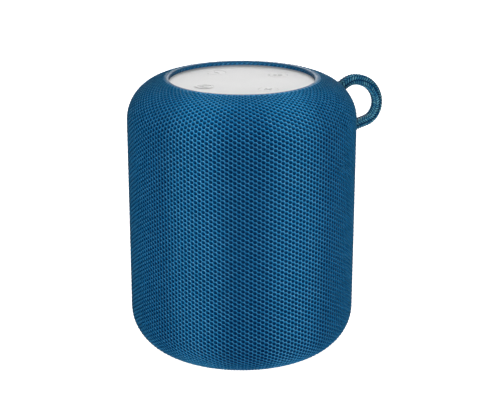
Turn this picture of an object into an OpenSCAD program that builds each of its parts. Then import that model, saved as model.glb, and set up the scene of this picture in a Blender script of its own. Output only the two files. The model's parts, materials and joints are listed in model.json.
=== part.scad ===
// Portable fabric-covered loudspeaker. Millimetres, +Z up.
// The origin is the centre of the base, on the surface that the speaker stands on.
// -Y is the front, where the play key is. +Y is the rear, with the loop and the sockets.

/* [Body] */
// Outside diameter over the fabric
body_d = 79; // [75:0.5:82]
// Height from the standing surface to the top of the rim
body_h = 97.2; // [96:0.1:100]
// Width of the rounded shoulder, measured inwards
shoulder_w = 15.1; // [14:0.1:16]
// Height of the rounded shoulder
shoulder_h = 14.3; // [13.5:0.1:15]
// Radius of the rounded lower edge
base_r = 14.1; // [13.5:0.1:14.5]
// How far the rubber foot stands below the fabric
foot_proud = 0.6; // [0.5:0.05:0.8]

/* [Skin] */
// Thickness of the knitted fabric
fabric_t = 1.1; // [0.9:0.05:1.2]
// Wall of the perforated shell under the fabric
shell_wall = 2; // [1.8:0.1:2.2]
// Number of slots round the shell in one row
slot_count = 24; // [16:2:28]

/* [Top panel] */
// Radius of the opening in the fabric rim
panel_r = 25; // [24.5:0.1:25.5]
// Depth of the panel below the rim
panel_recess = 1.35; // [1:0.05:1.6]
// Distance of each key from the centre
key_ring_r = 15.4; // [14:0.1:16]
// Diameter of each key
key_d = 6.4; // [6:0.1:6.8]
// Gap round each key
key_gap = 0.15; // [0.1:0.05:0.25]
// How far a key travels
key_travel = 0.4; // [0.2:0.05:0.5]

/* [Carrying loop] */
// Diameter of the braided cord
cord_d = 4.3; // [4:0.1:4.5]
// Radius of the stops that hold the cord's ends
stop_r = 2.9; // [2.7:0.1:3]
// Radius of the eyelet round each of the cord's holes
eyelet_r = 3.9; // [3.7:0.1:4]

/* [Sockets] */
// Height of the middle of the socket bay
port_z = 28.2; // [28:0.1:28.6]
// Half of the bay's width
port_half = 10.4; // [10:0.1:10.6]
// Sideways offset of the charging socket and of the audio socket
socket_offset = 4.6; // [4.4:0.1:4.8]

/* [Driver] */
// Height of the front face of the baffle
baffle_z = 67.4; // [67:0.1:67.6]
// Diameter of the loudspeaker magnet
magnet_d = 40; // [36:1:42]
// Height of the plastic box's floor
box_floor_z = 16; // [16:0.1:16.2]

/* [Hidden] */
$fn = 72;
eps = 0.02;
body_r = body_d / 2;
shell_inset = fabric_t + shell_wall;
tube_r = body_r - shell_inset;
shoulder_cx = body_r - shoulder_w;
shoulder_cz = body_h - shoulder_h;
base_cx = body_r - base_r;
base_cz = foot_proud + base_r;
quarter_turns = [0:90:270];
screw_grey = [0.55, 0.56, 0.58];
dark_plastic = [0.08, 0.08, 0.09];
shell_blue = [0.02, 0.09, 0.16];
cloth_blue = [0.1, 0.33, 0.51];
board_green = [0.05, 0.3, 0.18];

// rim and hems
roll_r = 0.6;
hem_r = panel_r + fabric_t;
panel_top = body_h - panel_recess;
panel_t = 1.6;
ledge_z = panel_top - panel_t;
corner_az = [45:90:315];
side_az = [30, 150, 270];
ledge_t = 2;
well_r = 21.5;
well_wall = 1.5;
well_floor_z = 86.2;
well_floor_t = 2;
base_hem_r = 24.6;
base_hem_top = 3.4;
joint_z = 17;
base_screw_ring = 20.5;
base_seat_z = 2.7;
foot_in_r = 17.4;
foot_out_r = 23.2;
foot_t = 1.7;
shell_screw_z = 19.5;
shell_screw_seat = body_r - fabric_t - 1;

// the loop's two holes: their distance from the axis, then the height and slope of each
eyelet_seat = 38;
eyelet_holes = [[84.85, 24], [71.3, -3]];
eyelet_neck_r = eyelet_r - 0.7;

// keys: azimuths of play, plus, power and minus
key_azimuths = [-90, 0, 90, 180];
key_board_z = 90;
key_board_t = 1;
key_board_top = key_board_z + key_board_t;
board_screw_ring = 14;
switch_top = 92.3;
plunger_top = 92.7;
flange_top = ledge_z - 0.15;
key_flange_t = 0.6;
icon_raise = 0.15;
icon_line = 0.45;

// plastic box
box_r = 34.4;
box_wall = 2;
box_floor_t = 2;
box_bore_r = box_r - box_wall;
lid_t = 3;
lid_z = baffle_z - lid_t;
seal_t = 0.4;
lid_boss_az = [22.5:90:292.5];
lid_boss_r = 30;
post_ring_r = 30.3;
post_r = 2.5;
pad_t = 0.5;
chassis_screw_ring = 28.5;
chassis_seat_z = 4.4;
driver_hole_r = 24.4;
tray_z = 31.8;
tray_t = 1.5;
battery_t = 6.5;
battery_top = tray_z + tray_t + battery_t;
rib_az = [-15, 195, 270];
rib_ring_r = 30.6;
ribbon_az = 152;

// driver, heights above the baffle
flange_r = 26.4;
flange_z = baffle_z + 0.6;
cone_edge_z = flange_z + 1;
driver_screw_ring = 29.5;
pole_r = 9.3;
plate_z = baffle_z - 14;
magnet_z = baffle_z - 23;
yoke_z = baffle_z - 25.5;
roll_mid_r = 21.5;

// passive radiator, standing on the box floor
radiator_z = box_floor_z + box_floor_t;
radiator_frame_r = 19;
radiator_hole_r = 16.6;
radiator_screw_ring = 17.8;

// main board
board_z = 25.4;
board_t = 1.2;
board_top = board_z + board_t;
board_posts = [[15.5, 24], [-15.5, 24], [20.8, 4], [-20.8, 4]];

// socket bay, in a frame with x outwards to the rear
bay_floor = 31.2;
bay_back = 29.2;
bay_face_r = 39;
bay_block_half = 12.2;
bay_up = 6.6;
bay_down = 7.6;
window_gap = 0.2;
hinge_out = 37.6;
hinge_z = port_z - 4.75;
hinge_pin_r = 0.75;
hinge_ear_y = 6.35;
hinge_ear_half = 1;
hinge_ear_r = 1.65;
flap_half = 10.1;
flap_half_h = 4.45;
flap_back = 35.8;
flap_r = 38.7;

// route of the loop's centre line, as distance from the body's axis and height, from end to end
loop_route = [
    [34.6, 83.7], [36.9, 84.4], [39.4, 85.5], [41.7, 86.8], [43.9, 88.1], [46.0, 89.2], [48.3, 89.8],
    [50.8, 89.7], [53.2, 89.0], [55.6, 87.9], [57.7, 86.3], [59.4, 84.3], [60.5, 82.1], [60.9, 79.9],
    [60.6, 77.8], [59.6, 75.9], [58.0, 74.4], [56.0, 73.6], [53.7, 73.2], [51.3, 72.8], [48.9, 72.2],
    [46.4, 71.6], [43.9, 71.2], [41.4, 71.1], [39.0, 71.2], [36.8, 71.4], [34.6, 71.5]
];
// routes of the inner wires, all inside the plastic box
battery_wire_route = [[-12, 17, 37], [-12, 20, 37], [-12, 22.5, 34.5], [-12, 22.5, 30], [-12, 21, 27.4]];
speaker_wire_route = [[22.85, 0, 62], [25.5, 0, 61.3], [27.6, 0, 58], [28, 0, 50], [28, 0, 40], [28, 2, 34],
    [26, 5, 29.8], [21.5, 8.5, 27.4]];

// points of an elliptical arc, from angle a0 to a1 in n steps
function arc(cx, cz, rx, rz, a0, a1, n) =
    [for (i = [0:n]) let (a = a0 + (a1 - a0) * i / n) [cx + rx * cos(a), cz + rz * sin(a)]];
// angle on the shoulder, or on the lower edge, at which the skin inset by d has radius r
function shoulder_angle(r, d) = acos((r - shoulder_cx) / (shoulder_w - d));
function base_angle(r, d) = -acos((r - base_cx) / (base_r - d));
function shoulder_arc(d, a0, a1, n = 20) =
    arc(shoulder_cx, shoulder_cz, shoulder_w - d, shoulder_h - d, a0, a1, n);
function base_arc(d, a0, a1, n = 16) =
    arc(base_cx, base_cz, base_r - d, base_r - d, a0, a1, n);
function reversed(list) = [for (i = [len(list) - 1:-1:0]) list[i]];
function unit(v) = v / norm(v);

// a tube with n sides and radius r along a list of points in space
module swept_tube(points, r, n) {
    last = len(points) - 1;
    function along(i) = unit(points[min(i + 1, last)] - points[max(i - 1, 0)]);
    side = unit(cross(points[last] - points[0], points[floor(last / 2)] - points[0]));
    function ring(i) = let (u = unit(cross(side, along(i))), w = cross(along(i), u))
        [for (k = [0:n - 1]) points[i] + r * (u * cos(360 * k / n) + w * sin(360 * k / n))];
    rings = [for (i = [0:last]) each ring(i)];
    sides = [for (i = [0:last - 1], k = [0:n - 1])
        let (a = i * n + k, b = i * n + (k + 1) % n) [a, a + n, b + n, b]];
    polyhedron(rings, concat([[for (k = [0:n - 1]) k]], sides, [[for (k = [n - 1:-1:0]) last * n + k]]));
}

// a crosshead screw, with the underside of its head at z = 0 and its shaft going down
module screw(d, length, head_d, head_h) {
    difference() {
        union() {
            translate([0, 0, -length]) cylinder(h = length, d = d, $fn = 24);
            cylinder(h = head_h, d = head_d, $fn = 32);
        }
        for (a = [0, 90]) {
            rotate(a) translate([-head_d * 0.3, -0.2, head_h / 2]) cube([head_d * 0.6, 0.4, head_h]);
        }
    }
}

// puts its children at radius r, once for each azimuth
module around(azimuths, r) {
    for (a = azimuths) {
        rotate(a) translate([r, 0, 0]) children();
    }
}

// a flat ring standing on z
module ring(r_in, r_out, z, h) {
    translate([0, 0, z]) difference() {
        cylinder(h = h, r = r_out);
        translate([0, 0, -1]) cylinder(h = h + 2, r = r_in);
    }
}

// turns x to the rear
module rearwards() {
    rotate(90) children();
}

// a box centred across y, from x0 to x1 and from z0 to z1
module slab(x0, x1, half_y, z0, z1) {
    translate([x0, -half_y, z0]) cube([x1 - x0, 2 * half_y, z1 - z0]);
}

// a cylinder across y at x and z
module cross_pin(x, z, r, y0, y1) {
    translate([x, y0, z]) rotate([-90, 0, 0]) cylinder(h = y1 - y0, r = r, $fn = 32);
}

// the opening that each wall leaves for the socket bay
module bay_window(gap) {
    rearwards() slab(28, 45, bay_block_half + gap, port_z - bay_down - gap, port_z + bay_up + gap);
}

// follows the loop's two holes: the first leans, the second is level
module eyelet_axes() {
    for (hole = eyelet_holes) {
        rearwards() translate([eyelet_seat, 0, hole[0]]) rotate([0, 90 - hole[1], 0]) children();
    }
}

module fabric_sleeve() {
    roll_top = shoulder_cz + shoulder_h * sin(shoulder_angle(panel_r + roll_r, 0));
    outer = concat(
        [[base_hem_r, base_hem_top]],
        arc(base_hem_r + roll_r, foot_proud + roll_r, roll_r, roll_r, 180, 270, 4),
        base_arc(0, -90, 0),
        shoulder_arc(0, 0, shoulder_angle(panel_r + roll_r, 0)),
        arc(panel_r + roll_r, roll_top - roll_r, roll_r, roll_r, 90, 180, 4),
        [[panel_r, ledge_z]]);
    inner = concat(
        [[hem_r, ledge_z]],
        shoulder_arc(fabric_t, shoulder_angle(hem_r, fabric_t), 0),
        base_arc(fabric_t, 0, base_angle(base_hem_r + fabric_t, fabric_t)),
        [[base_hem_r + fabric_t, base_hem_top]]);
    color(cloth_blue) difference() {
        rotate_extrude($fn = 96) polygon(concat(outer, inner));
        bay_window(window_gap);
        eyelet_axes() translate([0, 0, -4]) cylinder(h = 12, r = eyelet_r + 0.15, $fn = 32);
    }
}

module grille_shell() {
    inner_a = asin((ledge_z - ledge_t - shoulder_cz) / (shoulder_h - shell_inset));
    section = concat(
        [[body_r - fabric_t, joint_z]],
        shoulder_arc(fabric_t, 0, shoulder_angle(hem_r, fabric_t)),
        [[hem_r, ledge_z], [well_r, ledge_z], [well_r, well_floor_z + well_floor_t]],
        [[0, well_floor_z + well_floor_t], [0, well_floor_z], [well_r + well_wall, well_floor_z]],
        [[well_r + well_wall, ledge_z - ledge_t]],
        shoulder_arc(shell_inset, inner_a, 0),
        [[tube_r, joint_z]]);
    slot_w = 4;
    slot_h = 12;
    slot_rows = 4;
    first_slot_z = 24;
    row_pitch = 14.5;
    post_foot = baffle_z + pad_t;
    post_top = 92.6;
    board_post_r = 2;
    board_post_foot = well_floor_z + well_floor_t - eps;
    ribbon_slot_half = 4.3;
    color(shell_blue) difference() {
        union() {
            rotate_extrude($fn = 96) polygon(section);
            around(corner_az, post_ring_r) translate([0, 0, post_foot])
                cylinder(h = post_top - post_foot, r = post_r, $fn = 32);
            around(corner_az, board_screw_ring) translate([0, 0, board_post_foot])
                cylinder(h = key_board_z - board_post_foot, r = board_post_r, $fn = 24);
        }
        for (row = [0:slot_rows - 1], k = [0:slot_count - 1]) {
            rotate(k * 360 / slot_count + (row % 2) * 180 / slot_count)
                translate([tube_r - 2, -slot_w / 2, first_slot_z + row * row_pitch])
                    cube([6, slot_w, slot_h]);
        }
        bay_window(window_gap);
        eyelet_axes() translate([0, 0, -5]) cylinder(h = 12, r = eyelet_neck_r + 0.1, $fn = 32);
        around(corner_az, board_screw_ring) translate([0, 0, 87.5]) cylinder(h = 4, r = 0.7, $fn = 24);
        rotate(ribbon_az) slab(18, 32, ribbon_slot_half, 88.9, 89.7);
        around(side_az, tube_r - 1) translate([0, 0, shell_screw_z]) rotate([0, 90, 0])
            cylinder(h = 5, r = 1.1, $fn = 24);
        around(side_az, shell_screw_seat) translate([0, 0, shell_screw_z]) rotate([0, 90, 0])
            cylinder(h = 5, r = 1.9, $fn = 24);
    }
}

module lower_shell() {
    ring_in = box_r + 0.3;
    spigot_r = tube_r - 0.1;
    ring_top = joint_z + 5;
    floor_top = base_hem_top + 2;
    inner_a = asin((floor_top - base_cz) / (base_r - shell_inset));
    section = concat(
        [[base_hem_r + fabric_t, base_hem_top]],
        base_arc(fabric_t, base_angle(base_hem_r + fabric_t, fabric_t), 0),
        [[body_r - fabric_t, joint_z], [spigot_r, joint_z], [spigot_r, ring_top], [ring_in, ring_top]],
        [[ring_in, base_cz + 1]],
        base_arc(shell_inset, 0, inner_a),
        [[14, floor_top], [14, base_hem_top]]);
    color(shell_blue) difference() {
        union() {
            rotate_extrude($fn = 96) polygon(section);
            around(corner_az, chassis_screw_ring) translate([0, 0, floor_top - 1])
                cylinder(h = box_floor_z - floor_top + 1, r = 3, $fn = 32);
            around(quarter_turns, base_screw_ring) translate([0, 0, floor_top - eps])
                cylinder(h = 3, r = 2.2, $fn = 24);
        }
        around(corner_az, chassis_screw_ring) {
            cylinder(h = 20, r = 1.3, $fn = 24);
            cylinder(h = chassis_seat_z, r = 2.6, $fn = 24);
        }
        around(quarter_turns, base_screw_ring) translate([0, 0, 1]) cylinder(h = 6.6, r = 0.9, $fn = 24);
        around(side_az, 33) translate([0, 0, shell_screw_z]) rotate([0, 90, 0])
            cylinder(h = 5, r = 0.9, $fn = 24);
        for (k = [0:15]) {
            rotate(k * 22.5 + 11.25) translate([32, -2, 9]) cube([6, 4, 4.5]);
        }
        bay_window(window_gap);
    }
}

module shell_screws() {
    color(screw_grey) around(side_az, shell_screw_seat) translate([0, 0, shell_screw_z])
        rotate([0, 90, 0]) screw(1.8, 2.6, 3.6, 0.9);
}

module top_panel() {
    color([0.86, 0.86, 0.85]) difference() {
        translate([0, 0, ledge_z]) cylinder(h = panel_t, r = panel_r - 0.1, $fn = 96);
        around(key_azimuths, key_ring_r) translate([0, 0, ledge_z - 1])
            cylinder(h = panel_t + 2, d = key_d + 2 * key_gap, $fn = 48);
    }
}

// a key at an azimuth, with the outline of its raised sign as a child
module key(azimuth) {
    color([0.87, 0.87, 0.86]) rotate(azimuth) translate([key_ring_r, 0, 0]) {
        translate([0, 0, flange_top - eps]) cylinder(h = panel_top - flange_top + eps, d = key_d, $fn = 48);
        translate([0, 0, flange_top - key_flange_t]) cylinder(h = key_flange_t, d = key_d + 1.6, $fn = 48);
        translate([0, 0, plunger_top + key_travel + 0.1])
            cylinder(h = flange_top - plunger_top - key_travel - 0.5, r = 1, $fn = 24);
        translate([0, 0, panel_top - eps]) rotate(-azimuth) linear_extrude(icon_raise + eps) children();
    }
}

module bar(w, h) {
    square([w, h], center = true);
}

module play_key() {
    sign_r = 2.9;
    key(key_azimuths[0]) {
        difference() {
            circle(r = sign_r, $fn = 48);
            circle(r = sign_r - icon_line, $fn = 48);
        }
        translate([-0.55, 0]) polygon([[-0.9, -1], [-0.9, 1], [0.6, 0]]);
        translate([0.55, 0]) bar(icon_line, 1.9);
        translate([1.25, 0]) bar(icon_line, 1.9);
    }
}

module plus_key() {
    key(key_azimuths[1]) {
        bar(3, icon_line);
        bar(icon_line, 3);
    }
}

module power_key() {
    sign_r = 1.6;
    key(key_azimuths[2]) {
        difference() {
            circle(r = sign_r, $fn = 40);
            circle(r = sign_r - icon_line, $fn = 40);
            translate([0, 1.5]) bar(1.4, 1.8);
        }
        translate([0, 1.1]) bar(icon_line, 1.6);
    }
}

module minus_key() {
    key(key_azimuths[3]) bar(3, icon_line);
}

module key_board() {
    color(board_green) translate([0, 0, key_board_z]) difference() {
        cylinder(h = key_board_t, r = well_r - 0.5);
        around(corner_az, board_screw_ring) translate([0, 0, -1]) cylinder(h = 4, r = 1.1, $fn = 24);
    }
}

module tact_switches() {
    color([0.2, 0.2, 0.21]) around(key_azimuths, key_ring_r) {
        translate([-2.6, -2.6, key_board_top]) cube([5.2, 5.2, switch_top - key_board_top]);
        translate([0, 0, switch_top - eps]) cylinder(h = plunger_top - switch_top + eps, r = 0.9, $fn = 24);
    }
}

module status_led() {
    color([0.9, 0.95, 1]) translate([-0.8, -8, key_board_top]) cube([1.6, 0.8, 0.7]);
}

module microphone() {
    color([0.75, 0.7, 0.5]) translate([-1.3, 8, key_board_top]) cube([2.6, 1.6, 1]);
}

module key_board_screws() {
    color(screw_grey) around(corner_az, board_screw_ring) translate([0, 0, key_board_top])
        screw(1.4, 3, 2.8, 0.8);
}

module key_ribbon() {
    out = 30.7;
    t = 0.3;
    upper_z = 89.2;
    lower_z = board_top + 0.6;
    color([0.75, 0.5, 0.2]) rotate(ribbon_az) {
        slab(17.5, 20.5, 4, upper_z - 0.6, key_board_z);
        slab(20, out + t, 4, upper_z, upper_z + t);
        slab(out, out + t, 4, lower_z, upper_z + t);
        slab(21, out + t, 4, lower_z, lower_z + t);
        slab(19.5, 22.5, 4, board_top, board_top + 1.4);
    }
}

module lanyard_loop() {
    color(cloth_blue) swept_tube([for (p = loop_route) [0, p[0], p[1]]], cord_d / 2, 12);
}

module lanyard_eyelets() {
    foot_z = 60;
    proud = 0.45;
    neck_in_r = 35.6; // clears the stops
    flange = concat(
        [[body_r - fabric_t, foot_z], [body_r + proud, foot_z]], shoulder_arc(-proud, 0, 60),
        shoulder_arc(fabric_t, 60, 0));
    color([0.05, 0.06, 0.07]) difference() {
        union() {
            intersection() {
                eyelet_axes() translate([0, 0, -4]) cylinder(h = 9, r = eyelet_r, $fn = 40);
                rotate_extrude($fn = 96) polygon(flange);
            }
            intersection() {
                eyelet_axes() translate([0, 0, -4]) cylinder(h = 5, r = eyelet_neck_r, $fn = 40);
                ring(neck_in_r, body_r - fabric_t + eps, foot_z, 40);
            }
        }
        eyelet_axes() translate([0, 0, -8]) cylinder(h = 14, r = cord_d / 2 + 0.5, $fn = 40);
    }
}

module lanyard_stops() {
    stop_t = 1.8;
    face_r = 34.6;
    ends = [[83.7, 17], [71.5, -2.6]]; // height and slope of each end of the cord
    color([0.6, 0.61, 0.63]) rearwards() for (end = ends) {
        translate([face_r, 0, end[0]]) rotate([0, -90 - end[1], 0])
            cylinder(h = stop_t, r = stop_r, $fn = 32);
    }
}

module port_bay() {
    color([0.04, 0.05, 0.06]) rearwards() difference() {
        intersection() {
            slab(bay_back, 45, bay_block_half, port_z - bay_down, port_z + bay_up);
            cylinder(h = 60, r = bay_face_r, $fn = 96);
        }
        slab(bay_floor, 45, port_half, port_z - 4.7, port_z + 4.9);
        difference() {
            slab(hinge_out - 1, 45, port_half, port_z - 6.4, port_z);
            for (side = [-1, 1]) {
                translate([0, side * hinge_ear_y, 0]) {
                    cross_pin(hinge_out, hinge_z, hinge_ear_r, -hinge_ear_half, hinge_ear_half);
                    slab(hinge_out - hinge_ear_r, hinge_out + 1, hinge_ear_half, port_z - 7, hinge_z);
                }
            }
        }
        cross_pin(hinge_out, hinge_z, hinge_pin_r + 0.15, -7.4, 7.4);
        translate([0, socket_offset, 0]) slab(25, 45, 4.6, board_top - 0.05, board_top + 3.4);
        translate([25, -socket_offset, board_top + 2.5]) rotate([0, 90, 0])
            cylinder(h = 20, r = 2.6, $fn = 40);
    }
}

module port_flap() {
    seal_h = 0.9;
    seal_wall = 0.8;
    seal_half = 9.6;
    seal_half_h = 4.2;
    color([0.05, 0.07, 0.09]) rearwards() {
        difference() {
            intersection() {
                slab(flap_back, 45, flap_half, port_z - flap_half_h, port_z + flap_half_h);
                cylinder(h = 60, r = flap_r, $fn = 96);
            }
            for (side = [-1, 1]) {
                translate([0, side * hinge_ear_y, 0])
                    slab(30, 45, hinge_ear_half + 0.25, port_z - 6, port_z - 2.8);
            }
        }
        difference() {
            slab(flap_back - seal_h, flap_back + eps, seal_half, port_z - seal_half_h, port_z + seal_half_h);
            slab(flap_back - 2, flap_back + 1, seal_half - seal_wall, port_z - seal_half_h + seal_wall,
                port_z + seal_half_h - seal_wall);
        }
        cross_pin(hinge_out, hinge_z, hinge_pin_r, -7.2, 7.2);
        intersection() {
            slab(38, 45, 4, port_z + 2.4, port_z + 3.4);
            cylinder(h = 60, r = flap_r + 0.5, $fn = 96);
        }
    }
}

module chassis_tub() {
    tub_top = lid_z - seal_t;
    boss_top = tub_top - 0.2;
    boss_h = 10.4;
    foot_z = box_floor_z + 1;
    color(dark_plastic) difference() {
        union() {
            rotate_extrude() polygon([
                [box_r, box_floor_z], [box_r, tub_top], [box_bore_r, tub_top], [box_bore_r, radiator_z],
                [radiator_hole_r, radiator_z], [radiator_hole_r, box_floor_z]]);
            around(lid_boss_az, lid_boss_r) translate([0, 0, boss_top - boss_h])
                cylinder(h = boss_h, r = 3.5, $fn = 32);
            around(rib_az, rib_ring_r) translate([0, 0, foot_z])
                cylinder(h = tray_z - foot_z, r = 2.2, $fn = 32);
            around(corner_az, chassis_screw_ring) translate([0, 0, foot_z]) cylinder(h = 7, r = 3, $fn = 32);
            for (p = board_posts) {
                translate([p[0], p[1], foot_z]) cylinder(h = board_z - foot_z, r = 1.9, $fn = 24);
            }
        }
        around(lid_boss_az, lid_boss_r) translate([0, 0, tub_top - 9]) cylinder(h = 10, r = 0.9, $fn = 24);
        around(corner_az, chassis_screw_ring) translate([0, 0, box_floor_z - 1])
            cylinder(h = 6.9, r = 1.1, $fn = 24);
        around(quarter_turns, radiator_screw_ring) translate([0, 0, box_floor_z - 1])
            cylinder(h = 5, r = 0.8, $fn = 24);
        for (p = board_posts) {
            translate([p[0], p[1], board_z - 5]) cylinder(h = 6, r = 0.8, $fn = 24);
        }
        bay_window(0.05);
    }
}

module chassis_lid() {
    color(dark_plastic) translate([0, 0, lid_z]) difference() {
        cylinder(h = lid_t, r = box_r);
        translate([0, 0, -1]) cylinder(h = lid_t + 2, r = driver_hole_r);
        around(lid_boss_az, lid_boss_r) translate([0, 0, -1]) cylinder(h = lid_t + 2, r = 1.1, $fn = 24);
        around(quarter_turns, driver_screw_ring) translate([0, 0, 0.4])
            cylinder(h = lid_t, r = 0.9, $fn = 24);
        rotate(ribbon_az) slab(30.4, 31.4, 4.3, -1, lid_t + 1);
    }
}

module chassis_seal() {
    color([0.15, 0.15, 0.15]) ring(box_bore_r + 0.3, box_r - 0.3, lid_z - seal_t, seal_t);
}

module lid_screws() {
    color(screw_grey) around(lid_boss_az, lid_boss_r) translate([0, 0, baffle_z])
        screw(1.8, 10, 3.8, 1.2);
}

module chassis_screws() {
    color(screw_grey) around(corner_az, chassis_screw_ring) translate([0, 0, chassis_seat_z])
        mirror([0, 0, 1]) screw(2.2, 16, 4.6, 1.4);
}

module damper_pads() {
    color([0.1, 0.1, 0.1]) around(corner_az, post_ring_r) translate([0, 0, baffle_z])
        cylinder(h = pad_t, r = post_r, $fn = 32);
}

module sound_deflector() {
    section = concat([[0, well_floor_z]], arc(20, well_floor_z - 10, 18, 10, 90, 180, 12), [[0, 75.6]]);
    color(dark_plastic) rotate_extrude() polygon(section);
}

module driver_gasket() {
    color([0.12, 0.12, 0.12]) ring(driver_hole_r, flange_r - 0.2, baffle_z, flange_z - baffle_z);
}

module driver_basket() {
    bottom = plate_z + 3;
    ledge = bottom + 4.5;
    color([0.3, 0.31, 0.33]) difference() {
        union() {
            rotate_extrude() polygon([
                [flange_r, flange_z], [flange_r, cone_edge_z], [22.9, cone_edge_z], [22.9, flange_z],
                [18.4, ledge], [16.2, ledge], [16.2, bottom + 1], [10.9, bottom + 1], [10.9, bottom],
                [17.2, bottom], [19.4, ledge], [23.9, flange_z]]);
            around(quarter_turns, 0) translate([25, -2.7, flange_z]) cube([4.5, 5.4, 1]);
            around(quarter_turns, driver_screw_ring) translate([0, 0, flange_z])
                cylinder(h = 1, r = 2.7, $fn = 32);
        }
        around(quarter_turns, driver_screw_ring) translate([0, 0, flange_z - 1])
            cylinder(h = 3, r = 1.1, $fn = 24);
        around(corner_az, 0) translate([17, -7, ledge + 0.8]) cube([8, 14, 4.2]);
    }
}

module driver_screws() {
    color(screw_grey) around(quarter_turns, driver_screw_ring) translate([0, 0, cone_edge_z])
        screw(1.8, 3.9, 3.6, 1.1);
}

module driver_terminals() {
    ledge = plate_z + 7.5;
    color([0.45, 0.3, 0.15]) difference() {
        slab(18.6, 22.6, 4.5, ledge, ledge + 2.4);
        rotate_extrude() polygon([
            [0, ledge - 2], [18.6, ledge - 2], [19.5, ledge], [24, flange_z], [0, flange_z]]);
    }
}

module magnet() {
    color([0.16, 0.16, 0.17]) ring(11.5, magnet_d / 2, magnet_z, plate_z - magnet_z);
}

module top_plate() {
    color([0.6, 0.61, 0.63]) ring(10.85, 17.5, plate_z, 3);
}

module yoke() {
    color([0.6, 0.61, 0.63]) {
        translate([0, 0, yoke_z]) cylinder(h = magnet_z - yoke_z, r = 18.5);
        translate([0, 0, yoke_z + eps]) cylinder(h = plate_z + 3 - yoke_z - eps, r = pole_r);
    }
}

module voice_coil() {
    color([0.7, 0.35, 0.15]) {
        ring(9.7, 10.1, plate_z - 2.5, 12);
        ring(10.1 - eps, 10.5, plate_z - 0.6, 4.2);
    }
}

module spider() {
    z = plate_z + 7.7;
    r0 = 10.15;
    r1 = 18;
    steps = 48;
    function wave(i, dz) = let (r = r0 + (r1 - r0) * i / steps)
        [r, z + dz + (r < 16.1 ? 0.45 * sin(240 * (r - r0)) : 0)];
    color([0.75, 0.6, 0.3]) rotate_extrude() polygon(concat(
        [for (i = [0:steps]) wave(i, -0.15)], [for (i = [steps:-1:0]) wave(i, 0.15)]));
}

module cone() {
    neck = plate_z + 9;
    color([0.07, 0.07, 0.08]) rotate_extrude() polygon([
        [10.15, neck], [18.6, cone_edge_z - 0.5], [19.9, cone_edge_z - 0.5], [19.9, cone_edge_z],
        [18.4, cone_edge_z], [10.15, neck + 0.6]]);
}

// one half roll of rubber between two flat edges, bulging up or down
module half_roll(mid_r, roll, wall, r_in, r_out, z, up) {
    rotate_extrude() {
        intersection() {
            translate([mid_r, z]) difference() {
                circle(r = roll, $fn = 48);
                circle(r = roll - wall, $fn = 48);
            }
            translate([r_in, up ? z : z - 5]) square([r_out - r_in, 5]);
        }
        translate([r_in, up ? z : z - wall]) square([mid_r - roll + wall - r_in, wall]);
        translate([mid_r + roll - wall, up ? z : z - wall]) square([r_out - mid_r - roll + wall, wall]);
    }
}

module surround() {
    color([0.09, 0.09, 0.09]) half_roll(roll_mid_r, 1.9, 0.5, 18.5, 25.4, cone_edge_z, true);
}

module dust_cap() {
    z = plate_z + 10.75;
    color([0.07, 0.07, 0.08]) rotate_extrude() polygon(concat(
        arc(0, z, 11.6, 1.9, 0, 90, 12), arc(0, z, 11.1, 1.5, 90, 0, 12)));
}

module radiator_frame() {
    color([0.12, 0.12, 0.13]) difference() {
        ring(15.2, radiator_frame_r, radiator_z, 1.6);
        around(quarter_turns, radiator_screw_ring) translate([0, 0, radiator_z - 1])
            cylinder(h = 4, r = 0.9, $fn = 24);
    }
}

module radiator_surround() {
    color([0.09, 0.09, 0.09]) half_roll(13.4, 1.7, 0.6, 10.4, 16.4, radiator_z + 2.2, false);
}

module radiator_plate() {
    color([0.5, 0.51, 0.53]) {
        translate([0, 0, radiator_z + 2.2]) cylinder(h = 1, r = 11.6);
        translate([0, 0, radiator_z]) cylinder(h = 2.2 + eps, r = 8);
    }
}

module radiator_screws() {
    color(screw_grey) around(quarter_turns, radiator_screw_ring) translate([0, 0, radiator_z + 1.6])
        screw(1.6, 3, 2.4, 0.7);
}

module battery_tray() {
    color([0.1, 0.1, 0.11]) translate([0, 0, tray_z]) difference() {
        cylinder(h = tray_t, r = box_bore_r - 0.2);
        translate([0, 0, -tray_z]) bay_window(0.4);
        rotate(ribbon_az) slab(29.8, 34, 4.4, -1, 3);
        translate([-16, 19, -1]) cube([8, 6, 4]);
        translate([25.5, -2.5, -1]) cube([5, 8, 4]);
        translate([0, 0, -1]) cylinder(h = 4, r = 9);
    }
}

module battery_pack() {
    color([0.62, 0.66, 0.7]) translate([-25, -17, tray_z + tray_t]) cube([50, 34, battery_t]);
}

module battery_foam() {
    color([0.14, 0.14, 0.15]) translate([-9, -9, battery_top]) cube([18, 18, yoke_z - battery_top]);
}

module battery_lead() {
    color([0.75, 0.1, 0.1]) swept_tube(battery_wire_route, 0.8, 8);
}

module speaker_leads() {
    color([0.1, 0.1, 0.1]) swept_tube(speaker_wire_route, 0.8, 8);
}

module main_board() {
    color(board_green) translate([0, 0, board_z]) difference() {
        intersection() {
            cylinder(h = board_t, r = 31.4);
            translate([-22.5, -2, 0]) cube([45, 31, board_t]);
        }
        for (p = board_posts) {
            translate([p[0], p[1], -1]) cylinder(h = 4, r = 1.1, $fn = 24);
        }
    }
}

module board_screws() {
    color(screw_grey) for (p = board_posts) {
        translate([p[0], p[1], board_top]) screw(1.6, 5, 3.2, 0.9);
    }
}

// a stadium outline of width w and height h
module stadium(w, h) {
    square([w - h, h], center = true);
    for (side = [-1, 1]) {
        translate([side * (w - h) / 2, 0]) circle(d = h, $fn = 32);
    }
}

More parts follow.
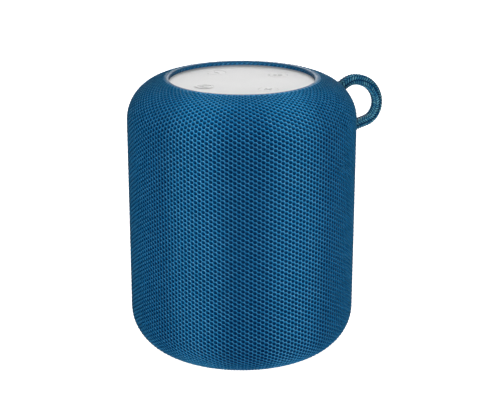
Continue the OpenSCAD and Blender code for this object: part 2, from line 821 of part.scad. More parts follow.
module usb_socket() {
    can_w = 8.94;
    can_h = 3.26;
    can_wall = 0.3;
    can_length = 7.3;
    mid_z = board_top + can_h / 2;
    color([0.72, 0.73, 0.75]) rearwards() translate([bay_floor, socket_offset, mid_z]) rotate([90, 0, -90]) {
        difference() {
            linear_extrude(can_length) stadium(can_w, can_h);
            translate([0, 0, -1]) linear_extrude(can_length)
                stadium(can_w - 2 * can_wall, can_h - 2 * can_wall);
        }
        translate([-3.3, -0.35, 1]) cube([6.6, 0.7, 6]);
    }
}

module aux_socket() {
    back = 17.5;
    end_wall = 1;
    axis_z = board_top + 2.5;
    barrel_r = 2.5;
    bore_r = 1.8;
    color([0.1, 0.1, 0.11]) rearwards() translate([0, -socket_offset, 0]) difference() {
        union() {
            slab(back, bay_back - 0.1, 3.1, board_top, axis_z + barrel_r);
            translate([back, 0, axis_z]) rotate([0, 90, 0])
                cylinder(h = bay_floor - back, r = barrel_r, $fn = 40);
        }
        translate([back + end_wall, 0, axis_z]) rotate([0, 90, 0]) cylinder(h = 20, r = bore_r, $fn = 40);
    }
}

module board_chips() {
    color(dark_plastic) for (c = [[-4, 4, 7], [6, 3, 5], [10.5, 11, 4], [-14.8, 8, 6]]) {
        translate([c[0], c[1], board_top]) cube([c[2], c[2], 0.9]);
    }
}

module board_inductors() {
    color([0.3, 0.3, 0.31]) for (c = [[14, 4], [-7, 15.5], [0, 14.5]]) {
        translate([c[0], c[1], board_top]) cylinder(h = 3, r = 2.2, $fn = 32);
    }
}

module base_plate() {
    color([0.05, 0.06, 0.07]) difference() {
        translate([0, 0, 0.9]) cylinder(h = base_hem_top - 0.9, r = base_hem_r - 0.1, $fn = 96);
        ring(foot_in_r - 0.05, foot_out_r + 0.05, 0, foot_t + 0.05);
        around(quarter_turns, base_screw_ring) {
            cylinder(h = 5, r = 1.1, $fn = 24);
            cylinder(h = base_seat_z, r = 2.2, $fn = 24);
        }
    }
}

module base_screws() {
    color(screw_grey) around(quarter_turns, base_screw_ring) translate([0, 0, base_seat_z])
        mirror([0, 0, 1]) screw(1.8, 4.6, 3.8, 0.9);
}

module foot_ring() {
    color([0.06, 0.06, 0.06]) rotate_extrude($fn = 96) difference() {
        translate([foot_in_r, 0]) square([foot_out_r - foot_in_r, foot_t]);
        for (r = [foot_in_r + 1.2:1.7:foot_out_r - 1.2]) {
            translate([r - 0.25, -1]) square([0.5, 1.3]);
        }
    }
}

fabric_sleeve();
grille_shell();
lower_shell();
shell_screws();
top_panel();
play_key();
power_key();
plus_key();
minus_key();
key_board();
tact_switches();
status_led();
microphone();
key_board_screws();
key_ribbon();
lanyard_loop();
lanyard_eyelets();
lanyard_stops();
port_bay();
port_flap();
chassis_tub();
chassis_lid();
chassis_seal();
lid_screws();
chassis_screws();
damper_pads();
sound_deflector();
driver_gasket();
driver_basket();
driver_screws();
driver_terminals();
magnet();
top_plate();
yoke();
voice_coil();
spider();
cone();
surround();
dust_cap();
radiator_frame();
radiator_surround();
radiator_plate();
radiator_screws();
battery_tray();
battery_pack();
battery_foam();
battery_lead();
speaker_leads();
main_board();
board_screws();
usb_socket();
aux_socket();
board_chips();
board_inductors();
base_plate();
base_screws();
foot_ring();
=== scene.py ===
"""Looks for the portable speaker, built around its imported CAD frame.

Metres, +Z up, -Y the front with the play key, +Y the rear with the loop and the socket bay.
"""

import json
import math

import bmesh
import bpy
import numpy as np
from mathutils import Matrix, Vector


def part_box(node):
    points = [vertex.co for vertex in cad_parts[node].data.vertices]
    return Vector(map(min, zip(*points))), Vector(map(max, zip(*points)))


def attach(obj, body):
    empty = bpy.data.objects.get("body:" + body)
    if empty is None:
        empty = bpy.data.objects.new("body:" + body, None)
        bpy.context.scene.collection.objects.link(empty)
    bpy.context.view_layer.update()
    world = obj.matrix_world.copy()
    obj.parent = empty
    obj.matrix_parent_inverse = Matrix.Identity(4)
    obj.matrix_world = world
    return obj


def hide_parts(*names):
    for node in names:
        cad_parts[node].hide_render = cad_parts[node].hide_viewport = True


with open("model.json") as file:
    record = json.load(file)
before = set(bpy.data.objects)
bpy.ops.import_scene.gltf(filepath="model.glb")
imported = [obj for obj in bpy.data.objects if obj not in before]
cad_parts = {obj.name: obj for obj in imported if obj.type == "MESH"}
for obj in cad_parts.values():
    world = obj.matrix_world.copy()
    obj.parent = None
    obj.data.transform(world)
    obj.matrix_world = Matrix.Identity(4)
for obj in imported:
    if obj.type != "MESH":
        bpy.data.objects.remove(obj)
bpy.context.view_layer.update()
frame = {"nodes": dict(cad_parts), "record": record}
NODES = frame["nodes"]
MM = 0.001
RNG = np.random.RandomState(11)

# ---------------------------------------------------------------- camera

# where the camera stands: degrees round from +X, degrees above level, and metres from its aim
VIEW_AZIMUTH = -35
VIEW_ELEVATION = 18.508
VIEW_DISTANCE = 0.47733
AIM_HEIGHT = 0.04891
LENS_MM = 97.44
SHIFT = (0.01644, 0.02184)


def from_camera(turn, elevation, distance, height=AIM_HEIGHT):
    """A point round the object: turn is in degrees to the camera's right, as the camera sees it."""
    a, e = math.radians(VIEW_AZIMUTH + turn), math.radians(elevation)
    flat = distance * math.cos(e)
    return Vector((flat * math.cos(a), flat * math.sin(a), height + distance * math.sin(e)))


def turn_to_aim(place):
    """The rotation of a camera or lamp that stands at place and looks at the object's middle."""
    return (Vector((0, 0, AIM_HEIGHT)) - place).to_track_quat("-Z", "Y").to_euler()


def make_camera():
    data = bpy.data.cameras.new("camera")
    data.sensor_width = 36
    data.lens = LENS_MM
    data.shift_x, data.shift_y = SHIFT
    data.clip_start, data.clip_end = 0.01, 20
    cam = bpy.data.objects.new("camera", data)
    bpy.context.scene.collection.objects.link(cam)
    cam.location = from_camera(0, VIEW_ELEVATION, VIEW_DISTANCE)
    cam.rotation_euler = turn_to_aim(cam.location)
    bpy.context.scene.camera = cam


# ---------------------------------------------------------------- meshes


def add_object(name, mesh, *materials):
    """Puts a mesh into the scene as an object."""
    obj = bpy.data.objects.new(name, mesh)
    bpy.context.scene.collection.objects.link(obj)
    for m in materials:
        mesh.materials.append(m)
    return obj


def new_mesh(name, verts, faces, **marks):
    """A smooth mesh with one float attribute for each keyword."""
    mesh = bpy.data.meshes.new(name)
    mesh.from_pydata(np.asarray(verts).tolist(), [], faces)
    mesh.polygons.foreach_set("use_smooth", [True] * len(mesh.polygons))
    for key, values in marks.items():
        mesh.attributes.new(key, "FLOAT", "POINT").data.foreach_set("value", np.asarray(values, float))
    mesh.update()
    return mesh


def mesh_from(name, bm):
    """Turns a bmesh into a mesh and frees it."""
    mesh = bpy.data.meshes.new(name)
    bm.to_mesh(mesh)
    bm.free()
    return mesh


def cut(obj, cutter):
    """Takes the cutter's shape out of obj for good."""
    mod = obj.modifiers.new("cut", "BOOLEAN")
    mod.operation, mod.object, mod.solver = "DIFFERENCE", cutter, "MANIFOLD"
    done = bpy.data.meshes.new_from_object(obj.evaluated_get(bpy.context.evaluated_depsgraph_get()))
    obj.modifiers.clear()
    old, obj.data = obj.data, done
    bpy.data.meshes.remove(old)
    bpy.data.objects.remove(cutter)


# ---------------------------------------------------------------- materials

STAIN_GRAIN = 60  # a surface's slow change of colour, in cycles to a metre
STAIN = ((0.3, (0.94,) * 3), (0.7, (1.0,) * 3))
CLOTH_STAIN = ((0.3, (0.93,) * 3), (0.7, (1.0,) * 3))
YARN_GRAIN = 5200
YARN_SHADE = ((0.3, (0.7,) * 3), (0.7, (1.0,) * 3))
MOST_FLECK_AND_HIGHLIGHT = 0.8  # how far the lightest stitches turn to the colour of the flecks and the painted highlights


class Shader:
    """A principled material and short ways to add nodes to it."""

    def __init__(self, name, rough=0.5, metallic=0.0, **sockets):
        self.m = bpy.data.materials.new(name)
        self.m.use_nodes = True
        self.t = self.m.node_tree
        self.bsdf = self.t.nodes["Principled BSDF"]
        self.set(self.bsdf, **{"Roughness": rough, "Metallic": metallic, **sockets})
        self.coords = self.add("ShaderNodeTexCoord").outputs["Object"]

    def add(self, kind, **values):
        return self.set(self.t.nodes.new(kind), **values)

    def set(self, node, **values):
        for key, value in values.items():
            key = key.replace("_", " ")
            if isinstance(value, bpy.types.NodeSocket):
                self.t.links.new(value, node.inputs[key])
            else:
                node.inputs[key].default_value = value
        return node

    def link(self, source, target):
        self.t.links.new(source, target)

    def noise(self, scale, detail=3.0, stretch=None):
        """Noise from 0 to 1, with grains about 1 / scale metres wide."""
        where = self.coords
        if stretch:
            mapping = self.add("ShaderNodeMapping", Scale=stretch)
            self.link(where, mapping.inputs["Vector"])
            where = mapping.outputs["Vector"]
        node = self.add("ShaderNodeTexNoise", Scale=scale, Detail=detail)
        self.link(where, node.inputs["Vector"])
        return node.outputs["Fac"]

    def mark(self, name):
        """The value of a mesh's float attribute."""
        node = self.t.nodes.new("ShaderNodeAttribute")
        node.attribute_name = name
        return node.outputs["Fac"]

    def ramp(self, fac, *stops):
        """Colours along fac; each stop is (position, colour)."""
        node = self.t.nodes.new("ShaderNodeValToRGB")
        self.link(fac, node.inputs["Fac"])
        elements = node.color_ramp.elements
        for k, (position, colour) in enumerate(stops):
            element = elements[k] if k < 2 else elements.new(position)
            element.position, element.color = position, (*colour, 1)
        return node.outputs["Color"]

    def span(self, fac, low, high):
        """Maps 0 to 1 on to low to high."""
        node = self.t.nodes.new("ShaderNodeMapRange")
        self.link(fac, node.inputs["Value"])
        node.inputs["To Min"].default_value, node.inputs["To Max"].default_value = low, high
        return node.outputs["Result"]

    def mix(self, how, fac, a, b):
        """Blends colour b into colour a by fac; how is the blend's name."""
        node = self.t.nodes.new("ShaderNodeMix")
        node.data_type, node.blend_type = "RGBA", how
        for socket, value in ((node.inputs["Factor"], fac), (node.inputs[6], a), (node.inputs[7], b)):
            if isinstance(value, bpy.types.NodeSocket):
                self.link(value, socket)
            else:
                socket.default_value = value
        return node.outputs[2]

    def bump(self, height, strength, distance):
        """Relief from a height of 0 to 1, where 1 stands distance metres proud."""
        node = self.add("ShaderNodeBump", Strength=strength, Distance=distance)
        self.link(height, node.inputs["Height"])
        self.link(node.outputs["Normal"], self.bsdf.inputs["Normal"])

    def finish(self, colour, roughness=None):
        """Links the finished colour and roughness, and returns the material."""
        self.link(colour, self.bsdf.inputs["Base Color"])
        if roughness:
            self.link(roughness, self.bsdf.inputs["Roughness"])
        return self.m


def shade(colour, k):
    """The colour made k times as bright."""
    return tuple(min(1.0, c * k) for c in colour)


def grained(
        name, colour, rough=0.5, grain=2500, depth=0.02, spread=0.12, stretch=None, metallic=0.0, **sockets):
    """A surface whose colour, roughness and height all vary with a fine grain and a slow stain."""
    s = Shader(name, rough, metallic, **sockets)
    fine, slow = s.noise(grain, 4, stretch), s.noise(STAIN_GRAIN, 2)
    tint = s.ramp(fine, (0.3, shade(colour, 1 - spread)), (0.7, shade(colour, 1 + spread)))
    tint = s.mix("MULTIPLY", 1.0, tint, s.ramp(slow, *STAIN))
    s.bump(fine, 0.35, depth * MM)
    return s.finish(tint, s.span(slow, max(0.02, rough - 0.07), min(1.0, rough + 0.07)))


def fabric(name, threads, middle, hollow, fleck_and_highlight):
    """Cloth whose meshes carry two marks: one for painted shade, 1 at the bottom of a hole where the shade
    is painted darkest, and one for tone, random by stitch and high where two yarns cross, which paints a
    highlight there.
    """
    s = Shader(name, 0.4, Sheen_Weight=0.04, Sheen_Roughness=0.5, Specular_IOR_Level=0.2)
    s.bsdf.inputs["Sheen Tint"].default_value = (0.1, 0.5, 0.9, 1)
    s.bsdf.inputs["Specular Tint"].default_value = (0.15, 0.6, 1, 1)
    # painted shade: the threads' colour darkens through the middle colour to the near black at the bottom of
    # the holes, following the mesh's shade mark
    tint = s.ramp(s.mark("hollow"), (0.0, threads), (1.0, hollow), (0.45, middle))
    # a lighter colour for the flecks and for the painted highlights where yarns cross, itself darkened by
    # the painted shade towards the bottoms of the holes
    light = s.ramp(s.mark("hollow"), (0, fleck_and_highlight), (0.8, hollow))
    tint = s.mix("MIX", s.span(s.mark("tone"), 0.0, MOST_FLECK_AND_HIGHLIGHT), tint, light)
    yarn = s.noise(YARN_GRAIN, 3)
    tint = s.mix("MULTIPLY", 0.8, tint, s.ramp(yarn, *YARN_SHADE))
    tint = s.mix("MULTIPLY", 1.0, tint, s.ramp(s.noise(45, 2), *CLOTH_STAIN))
    s.bump(yarn, 0.5, 0.08 * MM)
    return s.finish(tint, s.span(yarn, 0.3, 0.5))


def brushed(name, colour, rough):
    """Metal with fine lines round its upright axis."""
    return grained(name, colour, rough, 900, 0.01, 0.06, (1, 1, 12), 1.0)


def make_materials():
    """One material for each of the record's material slots."""
    # each cloth's colours: its threads, the middle of the painted shade, the painted shade at the bottom of
    # its holes, and its flecks and painted highlights
    knit = fabric("knit", (0.013, 0.26, 0.59), (0.0, 0.07, 0.2), (0.0, 0.003, 0.03), (0.18, 0.54, 0.86))
    braid = fabric("braid", (0.02, 0.3, 0.56), (0.002, 0.1, 0.26), (0.0, 0.015, 0.07), (0.3, 0.85, 1.0))
    pearl = {"Coat_Weight": 0.4, "Coat_Roughness": 0.4}
    return {
        "fabric_blue": knit,
        "cord_blue": braid,
        "shell_navy": grained("shell_navy", (0.003, 0.012, 0.028), 0.6),
        "panel_grey": grained("panel_grey", (0.9, 0.895, 0.89), 0.46, 4200, 0.03, 0.02, **pearl),
        "key_grey": grained("key_grey", (0.92, 0.915, 0.91), 0.44, 4200, 0.03, 0.02, **pearl),
        "black_plastic": grained("black_plastic", (0.014, 0.016, 0.02), 0.45, 3200, 0.03),
        "box_plastic": grained("box_plastic", (0.02, 0.02, 0.023), 0.55, 3200, 0.04),
        "flap_rubber": grained("flap_rubber", (0.012, 0.018, 0.026), 0.66, 3600, 0.03),
        "foot_rubber": grained("foot_rubber", (0.016, 0.016, 0.017), 0.75, 2600, 0.05, 0.2),
        "surround_rubber": grained("surround_rubber", (0.015, 0.015, 0.015), 0.55, 2000, 0.03),
        "screw_steel": brushed("screw_steel", (0.42, 0.43, 0.45), 0.32),
        "socket_steel": brushed("socket_steel", (0.62, 0.63, 0.65), 0.26),
        "basket_steel": grained("basket_steel", (0.07, 0.075, 0.08), 0.42, 1500, 0.03, metallic=0.6),
        "pole_steel": brushed("pole_steel", (0.5, 0.51, 0.53), 0.3),
        "ferrite": grained("ferrite", (0.035, 0.035, 0.038), 0.62, 2400, 0.05, 0.25),
        "copper_coil": grained("copper_coil", (0.72, 0.27, 0.12), 0.3, 900, 0.06, 0.2, (1, 1, 9), 0.9),
        "spider_cloth": grained("spider_cloth", (0.62, 0.45, 0.18), 0.85, 2600, 0.08, 0.25),
        "cone_paper": grained("cone_paper", (0.018, 0.018, 0.02), 0.8, 1800, 0.06, 0.3),
        "board_green": grained("board_green", (0.01, 0.11, 0.05), 0.35, 700, 0.01, 0.3),
        "ribbon_amber": grained("ribbon_amber", (0.55, 0.28, 0.05), 0.3, 1200, 0.01, 0.1, (9, 9, 1)),
        "chip_black": grained("chip_black", (0.02, 0.02, 0.022), 0.5, 3800, 0.02),
        "cell_silver": grained("cell_silver", (0.45, 0.48, 0.52), 0.38, 260, 0.05, 0.08, metallic=0.7),
        "foam_black": grained("foam_black", (0.03, 0.03, 0.032), 0.95, 1700, 0.25, 0.4),
        "lead_red": grained("lead_red", (0.5, 0.02, 0.02), 0.42, 2200, 0.01),
        "lead_black": grained("lead_black", (0.02, 0.02, 0.022), 0.42, 2200, 0.01),
        "led_clear": grained("led_clear", (0.75, 0.85, 0.9), 0.12, 1500, 0.01, 0.03),
        "mic_brass": brushed("mic_brass", (0.7, 0.52, 0.2), 0.28),
        "fibre_brown": grained("fibre_brown", (0.22, 0.11, 0.04), 0.7, 2000, 0.03, 0.2, (6, 1, 1)),
    }


def dress_nodes(materials):
    """Gives each CAD node its slot's material."""
    for row in frame["record"]["subparts"]:
        slots = NODES[row["node"]].data.materials
        slots.clear()
        slots.append(materials[row["material_slot"]])


# ---------------------------------------------------------------- knitted sleeve

# the skin's outline in mm: each arc's centre as radius and height, then its two semi-axes
BODY_R = 39.5
FABRIC_T = 1.1
SHOULDER = (24.4, 82.9, 15.1, 14.3)
LOWER_EDGE = (25.4, 14.7, 14.1, 14.1)
RIM_ANGLE = 85.44  # where the shoulder's arc meets the rim's roll, in degrees
RIM_ROLL = (25.6, 96.555, 0.6, 0.6)
RIM_TUCK = [[25.0, 95.6], [25.0, 94.25], [26.1, 94.25]]
HEM_TUCK = [[25.7, 3.4], [24.6, 3.4], [24.6, 2.2]]
HEM_ROLL = (25.2, 1.2, 0.6, 0.6)

# the knit: a hexagonal hole for each stitch, whose sizes are in mm
COLUMNS = 188
ROWS = 74
COLUMN_TURN = 2 * math.pi / COLUMNS
HEM_MARGIN = 0.55
HOLE_DEPTH = 0.5
LIP_DEPTH = (0.15, 0.2)
STITCH_RISE = 0.07  # how far a stitch stands above or below the skin
YARN_WANDER = 0.03
CORNER_WANDER = 0.025  # in columns and rows
HOLE_TILT = math.radians(-38)  # the holes are longer along the fabric's bias

# openings at the rear, in metres: the eyelets' holes have a height and a lean above level
WINDOW_OVERLAP = 0.1 * MM
EYELETS = ((0.08485, math.radians(24)), (0.0713, math.radians(-3)))
EYELET_HOLE_R = 3.85 * MM

# how much painted shade each corner of a hole gets, from the right hand one round by the top; the lower
# corners are painted darkest
LIP_SHADE = [0.4, 0.2, 0.2, 0.3, 0.5, 0.55]
FLOOR_SHADE = [1.0, 0.7, 0.6, 0.85, 1.0, 1.0]


def arc(ellipse, a0, a1, n, inset=0.0):
    """Points on an ellipse from angle a0 to a1 in degrees, drawn in by inset."""
    cx, cz, rx, rz = ellipse
    a = np.radians(np.linspace(a0, a1, n))
    return np.stack([cx + (rx - inset) * np.cos(a), cz + (rz - inset) * np.sin(a)], 1)


def run_along(line):
    """The length from a line's start to each of its points."""
    return np.concatenate([[0], np.cumsum(np.linalg.norm(np.diff(line, axis=0), axis=1))])


def normals(line):
    """The unit vector to the right of a line at each of its points."""
    along = np.gradient(line, axis=0)
    along /= np.linalg.norm(along, axis=1)[:, None]
    return np.stack([along[:, 1], -along[:, 0]], 1)


def resample(points, n):
    """The same line, cut into n points at equal steps."""
    points = np.asarray(points, float)
    run = run_along(points)
    at = np.linspace(0, run[-1], n)
    return np.stack([np.interp(at, run, points[:, k]) for k in range(2)], 1)


class Skin:
    """The fabric's outer line in the r, z plane, from the lower hem to the rim, read by its length."""

    def __init__(self):
        edges = [arc(LOWER_EDGE, -90, 0, 60), arc(SHOULDER, 0, RIM_ANGLE, 90)]
        self.line = resample(np.concatenate(edges), 1200)
        self.at = run_along(self.line)
        self.out = normals(self.line)
        self.length = self.at[-1]

    def place(self, turn, s, depth):
        """Points in metres at angle turn, length s along the line and depth below the surface."""
        r, z = (np.interp(s, self.at, self.line[:, k]) for k in range(2))
        nr, nz = (np.interp(s, self.at, self.out[:, k]) for k in range(2))
        r, z = r - depth * nr, z - depth * nz
        return np.stack([r * np.cos(turn), r * np.sin(turn), z], -1) * MM


def shared_corners(centre, corners, near, far):
    """Each corner of the hexagons once, and for each hexagon the numbers of its six corners.

    A corner belongs to up to three hexagons. Its key is its upright line, of three to a column, and its
    half row.
    """
    grid = centre + corners
    side = np.where(np.abs(np.abs(corners[:, 0]) - far) < 1e-6, far, near) * np.sign(corners[:, 0])
    steps = np.array([2, 1, -1, -2, -1, 1])
    lines = np.rint((grid[..., 0] - side) * 3 + steps).astype(int) % (3 * COLUMNS)
    keys = lines * 1000 + np.rint(grid[..., 1] * 2).astype(int)
    _, first, back = np.unique(keys.reshape(-1), return_index=True, return_inverse=True)
    return grid.reshape(-1, 2)[first], back.reshape(keys.shape)


def knit_cells(skin):
    """Vertices, faces and marks of the holed face, and its corners in columns and rows.

    Each hole is a hexagon with a rim at the surface, a lip just under it and a floor.
    """
    pitch = (skin.length - 2 * HEM_MARGIN) / (ROWS + 0.5)
    width = COLUMN_TURN * BODY_R
    near = (width**2 - pitch**2 / 4) / (2 * width) / width  # half width of the top edge, in columns
    far = 1 - near
    corners = np.array([[far, 0], [near, 0.5], [-near, 0.5], [-far, 0], [-near, -0.5], [near, -0.5]])
    i, j = np.meshgrid(np.arange(COLUMNS), np.arange(ROWS), indexing="ij")
    centre = np.stack([i, j + 0.5 + (i % 2) * 0.5], -1).reshape(-1, 1, 2).astype(float)
    rims, rim = shared_corners(centre, corners, near, far)
    cells = len(centre)

    bias = np.array([math.cos(HOLE_TILT), math.sin(HOLE_TILT)])
    size = np.array([width, pitch])

    def ring(long, short, shift=(0, 0)):
        """The corners drawn in to long of their size on the bias and short across it, then shifted."""
        shape = corners * size
        lengthwise = (shape @ bias)[:, None] * bias
        shape = lengthwise * long + (shape - lengthwise) * short
        return (centre + shape / size + shift).reshape(-1, 2)

    lips, floors = ring(0.95, 0.74), ring(0.88, 0.5, (0.02, -0.1))
    flat = np.concatenate([rims, lips, floors])
    crossing = np.isclose((rims[:, 0] + 0.5) % 1, (near + 0.5) % 1, atol=0.01)
    wander = RNG.uniform(-YARN_WANDER, YARN_WANDER, len(rims))
    depth = np.concatenate([
        np.where(crossing, -STITCH_RISE, STITCH_RISE) + wander,
        RNG.uniform(*LIP_DEPTH, len(lips)),
        np.full(len(floors), HOLE_DEPTH)])
    flat[: len(rims)] += RNG.uniform(-CORNER_WANDER, CORNER_WANDER, rims.shape)
    # painted shade: none on the rims at the surface, some on the lips and most on the floors of the holes
    hollow = np.concatenate([np.zeros(len(rims)), np.tile(LIP_SHADE, cells), np.tile(FLOOR_SHADE, cells)])
    # the corners where two yarns cross stand proud, and their high tone paints a highlight on them; the
    # other corners get a low random tone
    bright, dull = RNG.uniform(0.45, 1.0, len(rims)), RNG.uniform(0, 0.35, len(rims))
    tone = np.concatenate([np.where(crossing, bright, dull), np.zeros(len(lips) + len(floors))])
    verts = skin.place(flat[:, 0] * COLUMN_TURN, HEM_MARGIN + flat[:, 1] * pitch, depth)

    lip = len(rims) + np.arange(cells * 6).reshape(cells, 6)
    floor = lip + cells * 6
    rim_next, lip_next, floor_next = (np.roll(a, -1, axis=1) for a in (rim, lip, floor))
    faces = np.concatenate([
        np.stack([rim, rim_next, lip_next, lip], -1).reshape(-1, 4),
        np.stack([lip, lip_next, floor_next, floor], -1).reshape(-1, 4)]).tolist()
    return verts, faces + floor.tolist(), hollow, tone, rims


def zigzag_end(rims, top):
    """The corners along one end of the holed face, in order round the body."""
    steps = {}
    for k in np.argsort(rims[:, 0] % COLUMNS, kind="stable"):
        key = round((rims[k, 0] % COLUMNS) * 12)
        if key not in steps or (rims[k, 1] > rims[steps[key], 1]) == top:
            steps[key] = k
    return [steps[key] for key in sorted(steps)]


def lining_line():
    """The fabric's hidden outline: over the rim's roll, down the inner face and round the hem's roll."""
    return np.concatenate([
        arc(RIM_ROLL, 90, 180, 6),
        RIM_TUCK,
        arc(SHOULDER, 83, 0, 22, FABRIC_T),
        arc(LOWER_EDGE, 0, -88, 18, FABRIC_T),
        HEM_TUCK,
        arc(HEM_ROLL, 180, 270, 5)])


def make_sleeve(material):
    """The knitted sleeve: a closed skin whose outer face has a hole for every stitch."""
    verts, faces, hollow, tone, rims = knit_cells(Skin())
    upper, lower = zigzag_end(rims, True), zigzag_end(rims, False)
    turns = np.array([rims[k, 0] for k in upper]) * COLUMN_TURN
    n = len(turns)
    rings = np.stack([
        np.stack([r * np.cos(turns), r * np.sin(turns), np.full(n, z)], -1) for r, z in lining_line()]) * MM
    base, extra = len(verts), len(rings) * n
    verts = np.concatenate([verts, rings.reshape(-1, 3)])
    ring_of, step_of = np.divmod(np.arange(extra), n)
    # painted shade on the hidden lining and the rim's roll, in alternating dark and light patches that stand
    # in for the knit's shaded holes; their tone is random
    hollow = np.concatenate([hollow, np.where((ring_of + step_of // 2) % 2, 0.7, 0.15)])
    tone = np.concatenate([tone, RNG.beta(1.2, 3.0, extra)])
    starts = range(base, base + extra, n)
    loops = [upper, *(list(range(start, start + n)) for start in starts), lower]
    for a, b in zip(loops, loops[1:]):
        faces += [[a[k], a[(k + 1) % n], b[(k + 1) % n], b[k]] for k in range(n)]
    mesh = new_mesh("sleeve", verts, faces, hollow=hollow, tone=tone)
    sleeve = add_object("knit_sleeve", mesh, material)
    cut_openings(sleeve)
    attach(sleeve, "housing")
    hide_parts("fabric_sleeve")


def cut_openings(sleeve):
    """The window for the socket bay and the two holes for the loop."""
    low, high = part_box("port_bay")
    bm = bmesh.new()
    bmesh.ops.create_cube(bm, size=1)
    size = Vector((high.x - low.x - WINDOW_OVERLAP, 0.02, high.z - low.z - WINDOW_OVERLAP))
    middle = Vector((0, 0.042, (low.z + high.z) / 2))
    for v in bm.verts:
        v.co = Vector(a * b for a, b in zip(v.co, size)) + middle
    for height, lean in EYELETS:
        made = bmesh.ops.create_cone(
            bm, cap_ends=True, segments=48, radius1=EYELET_HOLE_R, radius2=EYELET_HOLE_R, depth=9 * MM)
        turn = Vector((0, math.cos(lean), math.sin(lean))).to_track_quat("Z", "Y")
        for v in made["verts"]:
            v.co = turn @ v.co + Vector((0, 0.038, height))
    cut(sleeve, add_object("openings", mesh_from("openings", bm)))


# ---------------------------------------------------------------- braided loop

CORD_D = 4.3 * MM
BRAID_DEPTH = 0.42 * MM
# the cord's middle line in mm, from end to end: its distance behind the body's axis, and its height
LOOP_ROUTE = [
    (34.6, 83.7), (36.9, 84.4), (39.4, 85.5), (41.7, 86.8), (43.9, 88.1), (46.0, 89.2), (48.3, 89.8),
    (50.8, 89.7), (53.2, 89.0), (55.6, 87.9), (57.7, 86.3), (59.4, 84.3), (60.5, 82.1), (60.9, 79.9),
    (60.6, 77.8), (59.6, 75.9), (58.0, 74.4), (56.0, 73.6), (53.7, 73.2), (51.3, 72.8), (48.9, 72.2),
    (46.4, 71.6), (43.9, 71.2), (41.4, 71.1), (39.0, 71.2), (36.8, 71.4), (34.6, 71.5)]
BRAID_ROWS = 4  # rows of V-shaped stitches round the cord
STITCH_PITCH = 1.05


def smooth_route(points, n):
    """A Catmull-Rom line through the points, cut into n equal steps."""
    p = np.array(points, float)
    p = np.concatenate([[2 * p[0] - p[1]], p, [2 * p[-1] - p[-2]]])
    t = np.linspace(0, 1, 12, endpoint=False)[:, None]
    line = [
        0.5 * (2 * b + (c - a) * t + (2 * a - 5 * b + 4 * c - d) * t**2 + (3 * b - a - 3 * c + d) * t**3)
        for a, b, c, d in zip(p, p[1:], p[2:], p[3:])]
    return resample(np.concatenate(line + [p[-2:-1]]), n)


def braid_height(turn, s):
    """Height from 0 to 1 and a random tone for the stitches of a round braid, s mm along it."""
    u = turn / (2 * math.pi) * BRAID_ROWS
    row = np.floor(u).astype(int) % BRAID_ROWS
    across = (u - np.floor(u)) * 2 - 1
    phase = s / STITCH_PITCH + np.abs(across) * 0.9 + (across > 0) * 0.5
    k = np.floor(phase).astype(int)
    leaf = np.abs(np.sin(math.pi * (phase - k))) ** 1.3
    body = np.sqrt(np.clip(1 - np.abs(across) ** 2.5, 0, 1)) * (1 - 0.5 * np.exp(-((across / 0.16) ** 2)))
    tones = np.random.RandomState(5).beta(1.6, 1.6, 997)
    return leaf * body, tones[(k * 73 + row * 131 + (across > 0) * 57) % 997]


def make_loop(material):
    """The carrying loop: a round cord along its route, with the braid's stitches raised on it."""
    steps, sides = 420, 64
    line = smooth_route(LOOP_ROUTE, steps) * MM
    normal = normals(line)
    run = run_along(line)
    turn, s = np.meshgrid(np.arange(sides) / sides * 2 * math.pi, run / MM)
    height, tone = braid_height(turn, s)
    r = CORD_D / 2 - (1 - height) * BRAID_DEPTH
    y = line[:, None, 0] + r * np.cos(turn) * normal[:, None, 0]
    z = line[:, None, 1] + r * np.cos(turn) * normal[:, None, 1]
    verts = np.stack([r * np.sin(turn), y, z], -1).reshape(-1, 3)
    faces = [
        [i * sides + k, i * sides + (k + 1) % sides, (i + 1) * sides + (k + 1) % sides, (i + 1) * sides + k]
        for i in range(steps - 1) for k in range(sides)]
    faces += [list(range(sides))[::-1], [(steps - 1) * sides + k for k in range(sides)]]
    # painted shade in the braid's grooves: the lower a point lies under the stitches' tops, the darker it is
    # painted
    mesh = new_mesh("loop", verts, faces, hollow=(1 - height).reshape(-1), tone=tone.reshape(-1))
    bm = bmesh.new()
    bm.from_mesh(mesh)
    bmesh.ops.recalc_face_normals(bm, faces=bm.faces)
    bm.to_mesh(mesh)
    bm.free()
    loop = add_object("braided_loop", mesh, material)
    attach(loop, "housing")
    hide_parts("lanyard_loop")


# ---------------------------------------------------------------- studio

WORLD_LIGHT = 0.03
BAND_COLOUR = (1, 0.62, 0.46)
BAND_SPREAD = math.radians(18)
BAND_SQUEEZE = (0.15, 1, 1)  # makes the round beam narrow and upright


def make_floor():
    """A plain white floor that glows, and throws no light or shadow back on the object."""
    bm = bmesh.new()
    bmesh.ops.create_grid(bm, x_segments=24, y_segments=24, size=6)
    s = Shader("floor_paper", 0.9, Emission_Strength=1.0)
    s.bsdf.inputs["Emission Color"].default_value = (1, 1, 1, 1)
    paper = s.finish(s.ramp(s.noise(3), (0, (0.9,) * 3), (1, (0.93,) * 3)))
    floor = add_object("floor", mesh_from("floor", bm), paper)
    floor.visible_diffuse = floor.visible_glossy = floor.visible_shadow = False


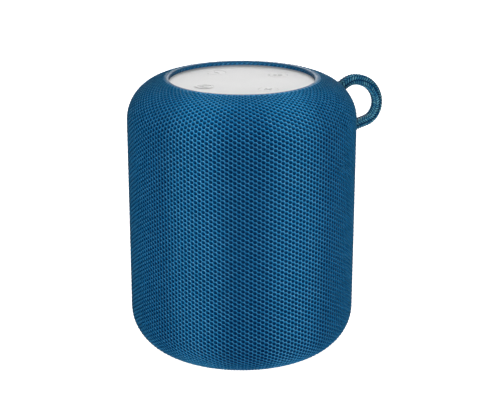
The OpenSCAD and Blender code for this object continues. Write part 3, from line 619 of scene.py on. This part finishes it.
def place_lamp(name, data, place, gloss, diffuse=True):
    """A lamp turned to the object; gloss and diffuse say if it adds to reflections and to plain light."""
    lamp = bpy.data.objects.new(name, data)
    bpy.context.scene.collection.objects.link(lamp)
    lamp.location = place
    lamp.visible_glossy, lamp.visible_diffuse, lamp.visible_camera = gloss, diffuse, False
    lamp.rotation_euler = turn_to_aim(place)
    return lamp


def add_light(name, place, width, height, power, gloss=True, diffuse=True):
    """A soft rectangular lamp; sizes are in metres and power in watts."""
    data = bpy.data.lights.new(name, "AREA")
    data.shape, data.size, data.size_y, data.energy = "RECTANGLE", width, height, power
    place_lamp(name, data, place, gloss, diffuse)


def add_band(name, place, power):
    """A tall narrow beam, which draws one of the two upright bands on the fabric."""
    data = bpy.data.lights.new(name, "SPOT")
    data.energy, data.color, data.shadow_soft_size = power, BAND_COLOUR, 0.002
    data.spot_size, data.spot_blend = BAND_SPREAD, 1.0
    place_lamp(name, data, place, gloss=False).scale = BAND_SQUEEZE


def make_studio():
    """The room: a world that looks white but lights little, the floor and the lamps."""
    scene = bpy.context.scene
    world = bpy.data.worlds.new("studio")
    scene.world = world
    world.use_nodes = True
    nodes, links = world.node_tree.nodes, world.node_tree.links
    nodes["Background"].inputs["Color"].default_value = (1, 1, 1, 1)
    seen = nodes.new("ShaderNodeMapRange")
    seen.inputs["To Min"].default_value, seen.inputs["To Max"].default_value = WORLD_LIGHT, 1.0
    links.new(nodes.new("ShaderNodeLightPath").outputs["Is Camera Ray"], seen.inputs["Value"])
    links.new(seen.outputs["Result"], nodes["Background"].inputs["Strength"])
    scene.view_settings.view_transform = "Standard"
    make_floor()
    add_band("left_band", from_camera(-23, 4, 0.6), 11.5)
    add_band("right_band", from_camera(27, 4, 0.6), 11)
    add_light("front_box", from_camera(2, 10, 0.5), 0.14, 0.14, 2.2)
    add_light("top_box", from_camera(20, 84, 1.0), 0.5, 0.5, 1.7)
    add_light("back_box", from_camera(180, 12, 1.1), 0.6, 0.6, 7.0, gloss=False)
    add_light("white_card", from_camera(180, 15, 1.2), 1.4, 0.7, 9.5, diffuse=False)


make_camera()
MATERIALS = make_materials()
dress_nodes(MATERIALS)
make_sleeve(MATERIALS["fabric_blue"])
make_loop(MATERIALS["cord_blue"])
make_studio()
